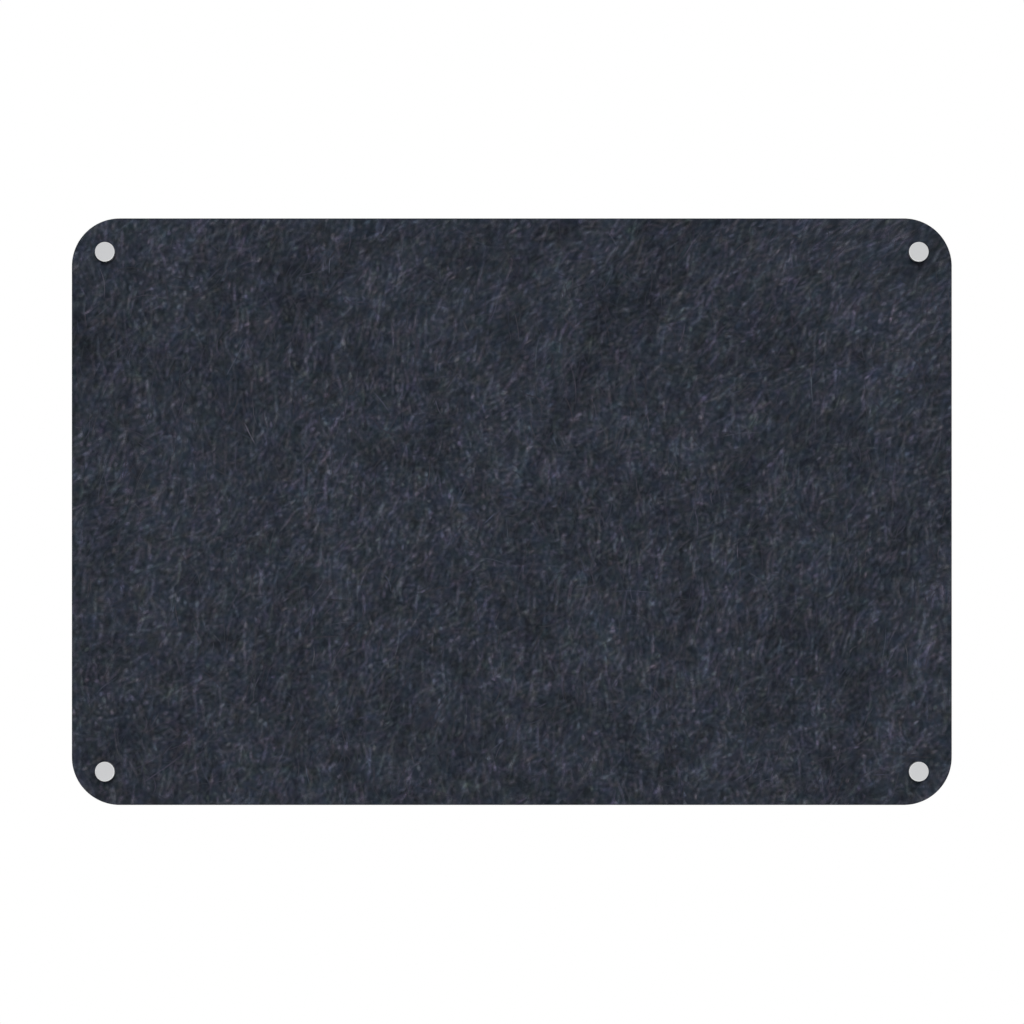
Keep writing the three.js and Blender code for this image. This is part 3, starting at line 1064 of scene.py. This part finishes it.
def washer_mesh(node):
    front, rear = reach_of(node)
    outline = (
        (WASHER_HOLE_RADIUS, front),
        (washer_radius, front),
        (washer_radius, rear),
        (WASHER_HOLE_RADIUS, rear),
    )
    return turned(outline, NYLON_ROUNDING, is_tube=True)


def barrel_mesh():
    front, rear = reach_of("top_left_barrel")
    outline = (
        (TAPPED_HOLE_RADIUS + BARREL_MOUTH_CHAMFER, front),
        (STAND_OFF_RADIUS - BARREL_CHAMFER, front),
        (STAND_OFF_RADIUS, front + BARREL_CHAMFER),
        (STAND_OFF_RADIUS, rear - BARREL_CHAMFER),
        (STAND_OFF_RADIUS - BARREL_CHAMFER, rear),
        (RECESS_RADIUS, rear),
        (RECESS_RADIUS, rear - RECESS_DEPTH),
        (BASE_HOLE_RADIUS, rear - RECESS_DEPTH),
        (BASE_HOLE_RADIUS, rear - RECESS_DEPTH - BASE_LAND),
        (COUNTERSINK_RADIUS, rear - BARREL_BASE),
        (TAPPED_HOLE_RADIUS, rear - BARREL_BASE),
        (TAPPED_HOLE_RADIUS, front + BARREL_MOUTH_CHAMFER),
    )
    body = turned(outline, METAL_ROUNDING, is_tube=True)
    thread = (
        (0, STUD_ROOT_RADIUS),
        (ROOT_END_SHARE, STUD_ROOT_RADIUS),
        (CREST_START_SHARE, TAPPED_ROOT_RADIUS),
        (CREST_END_SHARE, TAPPED_ROOT_RADIUS),
    )
    low, high = front - CUT_OVERRUN, rear - BARREL_BASE - STUD_PITCH
    tap = threaded_rod(
        thread, STUD_PITCH, low, high, lambda y: STUD_END_RADIUS + min(y - low, high - y)
    )
    return combined(body, "DIFFERENCE", [tap])


def wall_screw_mesh():
    front, rear = reach_of("top_left_wall_screw")
    cone_end = front + SCREW_HEAD_RIM + SCREW_HEAD_RADIUS - SCREW_NECK_RADIUS
    outline = (
        (0, front),
        (SCREW_HEAD_RADIUS, front),
        (SCREW_HEAD_RADIUS, front + SCREW_HEAD_RIM),
        (SCREW_NECK_RADIUS, cone_end),
        (SCREW_NECK_RADIUS, SCREW_NECK_END),
        (0, SCREW_NECK_END),
    )
    head = turned(outline, METAL_ROUNDING, SLIM_SIDES)
    thread = (
        (0, SCREW_ROOT_RADIUS),
        (WOOD_ROOT_END_SHARE, SCREW_ROOT_RADIUS),
        (WOOD_CREST_START_SHARE, SCREW_CREST_RADIUS),
        (WOOD_CREST_END_SHARE, SCREW_CREST_RADIUS),
    )
    start = SCREW_NECK_END - SCREW_SHANK_OVERLAP

    def limit(y):
        run_in = SCREW_ROOT_RADIUS * SCREW_RUN_IN_SHARE + (y - start) * SCREW_RUN_IN_SLOPE
        point = SCREW_TIP_RADIUS + (rear - y) / SCREW_TAPER * SCREW_CREST_RADIUS
        return min(run_in, point)

    shank = threaded_rod(thread, SCREW_PITCH, start, rear, limit)
    slots = [
        prism(rectangle(*sides), front - CROSS_OVERRUN, front + CROSS_DEPTH, CROSS_TAPER)
        for sides in ((CROSS_SPAN, CROSS_WIDTH), (CROSS_WIDTH, CROSS_SPAN))
    ]
    return combined(combined(head, "UNION", [shank]), "DIFFERENCE", slots)


def wall_plug_mesh():
    barb_length = (PLUG_LENGTH - PLUG_NECK_LENGTH - PLUG_TIP_LENGTH) / PLUG_BARBS
    barbs = []
    for barb in range(PLUG_BARBS):
        start = PLUG_NECK_LENGTH + barb * barb_length
        barbs.append((PLUG_RADIUS, start))
        barbs.append((PLUG_RADIUS - PLUG_BARB_DEPTH, start + barb_length))
    outline = (
        (PLUG_BORE_RADIUS, -PLUG_RIM_THICKNESS),
        (PLUG_RIM_RADIUS, -PLUG_RIM_THICKNESS),
        (PLUG_RIM_RADIUS, 0),
        (PLUG_RADIUS, 0),
        *barbs,
        (PLUG_RADIUS, PLUG_LENGTH - PLUG_TIP_LENGTH),
        (PLUG_RADIUS - PLUG_TIP_TAPER, PLUG_LENGTH),
        (PLUG_BORE_RADIUS, PLUG_LENGTH),
    )
    tube = turned(outline, NYLON_ROUNDING, SLIM_SIDES, is_tube=True)
    root = (PLUG_BORE_RADIUS + PLUG_RADIUS) / 2
    crest = PLUG_RADIUS + PLUG_FIN_HEIGHT
    half = PLUG_FIN_THICKNESS / 2
    fins = []
    for side in (-1, 1):
        points = []
        for z in (-half, half):
            points += [
                (side * root, 0, z),
                (side * crest, PLUG_FIN_HEIGHT, z),
                (side * crest, PLUG_FIN_LENGTH - PLUG_FIN_HEIGHT, z),
                (side * root, PLUG_FIN_LENGTH, z),
            ]
        faces = [(0, 1, 2, 3), (4, 5, 6, 7), (0, 1, 5, 4), (1, 2, 6, 5), (2, 3, 7, 6), (3, 0, 4, 7)]
        fins.append(with_outward_faces(mesh_of("fin", points, faces), merges=True))
    slit = prism(
        rectangle(PLUG_SLIT_WIDTH, 2 * PLUG_RIM_RADIUS), PLUG_NECK_LENGTH, PLUG_LENGTH + CUT_OVERRUN
    )
    return combined(combined(tube, "UNION", fins), "DIFFERENCE", [slit])


# The fixings' materials

def turning_marks(tree, pitch):
    """Fine rings on faces and along sides, as a lathe tool leaves them."""
    parts = node(tree, "SeparateXYZ", {0: object_place(tree)})
    flat = node(tree, "CombineXYZ", {0: parts.outputs["X"], 1: parts.outputs["Z"]})
    radius = node(tree, "VectorMath", {0: flat.outputs[0]}, operation="LENGTH").outputs["Value"]
    along = maths(tree, "ADD", radius, parts.outputs["Y"])
    rings = node(tree, "CombineXYZ", {0: along}).outputs[0]
    return noise_value(tree, rings, 1 / pitch, 2, GRAIN_ROUGHNESS)


def satin_material(name, colour, roughness, pitch):
    material, tree, shader = new_material(name, Metallic=1)
    marks = turning_marks(tree, pitch)
    grain = noise_value(tree, object_place(tree), SATIN_GRAIN_SCALE)
    tone = ranged(tree, maths(tree, "ADD", marks, grain), *SATIN_MARK_RANGE, *SATIN_TONES)
    tree.links.new(lit(tree, colour, tone), shader.inputs["Base Color"])
    low, high = (roughness * share for share in SATIN_ROUGHNESS_SHARES)
    tree.links.new(ranged(tree, grain, *NOISE_RANGE, low, high), shader.inputs["Roughness"])
    bump(tree, shader, marks, FINE_BUMP)
    return material


def zinc_material():
    material, tree, shader = new_material("zinc_steel", Metallic=1)
    place = object_place(tree)
    blotches = noise_value(tree, place, ZINC_BLOTCH_SCALE, 3, GRAIN_ROUGHNESS)
    fine = noise_value(tree, place, ZINC_GRAIN_SCALE)
    tone = ranged(tree, maths(tree, "ADD", blotches, fine), *ZINC_MARK_RANGE, *ZINC_TONES)
    tree.links.new(lit(tree, ZINC_COLOUR, tone), shader.inputs["Base Color"])
    uneven = ranged(tree, blotches, *NOISE_RANGE, *ZINC_ROUGHNESS)
    tree.links.new(uneven, shader.inputs["Roughness"])
    bump(tree, shader, fine, FINE_BUMP)
    return material


def clear_nylon_material():
    material, tree, shader = new_material("clear_nylon", IOR=NYLON_IOR)
    shader.inputs["Transmission Weight"].default_value = CLEAR_TRANSMISSION
    place = object_place(tree)
    cloud = noise_value(tree, place, CLEAR_CLOUD_SCALE)
    fine = noise_value(tree, place, CLEAR_GRAIN_SCALE)
    tone = ranged(tree, cloud, *NOISE_RANGE, *CLEAR_TONES)
    tree.links.new(lit(tree, CLEAR_COLOUR, tone), shader.inputs["Base Color"])
    uneven = ranged(tree, cloud, *NOISE_RANGE, *CLEAR_ROUGHNESS)
    tree.links.new(uneven, shader.inputs["Roughness"])
    bump(tree, shader, fine, FINE_BUMP)
    return material


def grey_nylon_material():
    material, tree, shader = new_material("grey_nylon", IOR=NYLON_IOR)
    place = object_place(tree)
    drawn = node(tree, "Mapping", {"Vector": place, "Scale": (1, GREY_FLOW_STRETCH, 1)}).outputs[0]
    flow = noise_value(tree, drawn, GREY_FLOW_SCALE, 3)
    grain = noise_value(tree, place, GREY_GRAIN_SCALE)
    tone = ranged(tree, flow, *NOISE_RANGE, *GREY_TONES)
    tree.links.new(lit(tree, GREY_COLOUR, tone), shader.inputs["Base Color"])
    uneven = ranged(tree, grain, *NOISE_RANGE, *GREY_ROUGHNESS)
    tree.links.new(uneven, shader.inputs["Roughness"])
    bump(tree, shader, grain, GREY_BUMP)
    return material


def add_fixings():
    satin = satin_material("satin_aluminium", SATIN_COLOUR, SATIN_ROUGHNESS, SATIN_MARK_PITCH)
    bright = satin_material("polished_edge_highlight", EDGE_HIGHLIGHT_COLOUR, BRIGHT_ROUGHNESS, BRIGHT_MARK_PITCH)
    zinc = zinc_material()
    clear = clear_nylon_material()
    grey = grey_nylon_material()
    front_ring = washer_mesh("top_left_front_washer")
    rear_ring = washer_mesh("top_left_rear_washer")
    # Piece, mesh, materials, body, material slot, and the node that it stands for
    pieces = (
        ("disc", cap_mesh(), (satin, bright), "{}_cap_screw", "satin_aluminium", "{}_cap"),
        ("set_screw", stud_mesh(), (zinc,), "{}_cap_screw", "zinc_steel", "{}_stud"),
        ("front_ring", front_ring, (clear,), "{}_washer", "clear_nylon", "{}_front_washer"),
        ("rear_ring", rear_ring, (clear,), "board", "clear_nylon", "{}_rear_washer"),
        ("spacer", barrel_mesh(), (satin,), "board", "satin_aluminium", "{}_barrel"),
        ("screw", wall_screw_mesh(), (zinc,), "board", "zinc_steel", "{}_wall_screw"),
        ("anchor", wall_plug_mesh(), (grey,), "board", "grey_nylon", "{}_wall_plug"),
    )
    for name, mesh, materials, body, slot, stands_for in pieces:
        smooth_by_angle(mesh, CREASE_ANGLE)
        for material in materials:
            mesh.materials.append(material)
        for corner, (x, z) in fixings.items():
            piece = collection_object(f"{corner}_{name}", mesh.copy())
            piece.location = (x, 0, z)
            dress(piece, (), body.format(corner), [stands_for.format(corner)])


add_camera()
add_world()
add_area_light("key", KEY_PLACE, KEY_SIDE, KEY_POWER)
add_area_light("back_light", BACK_PLACE, BACK_SIDE, BACK_POWER)
add_floor()
add_board()
add_fixings()
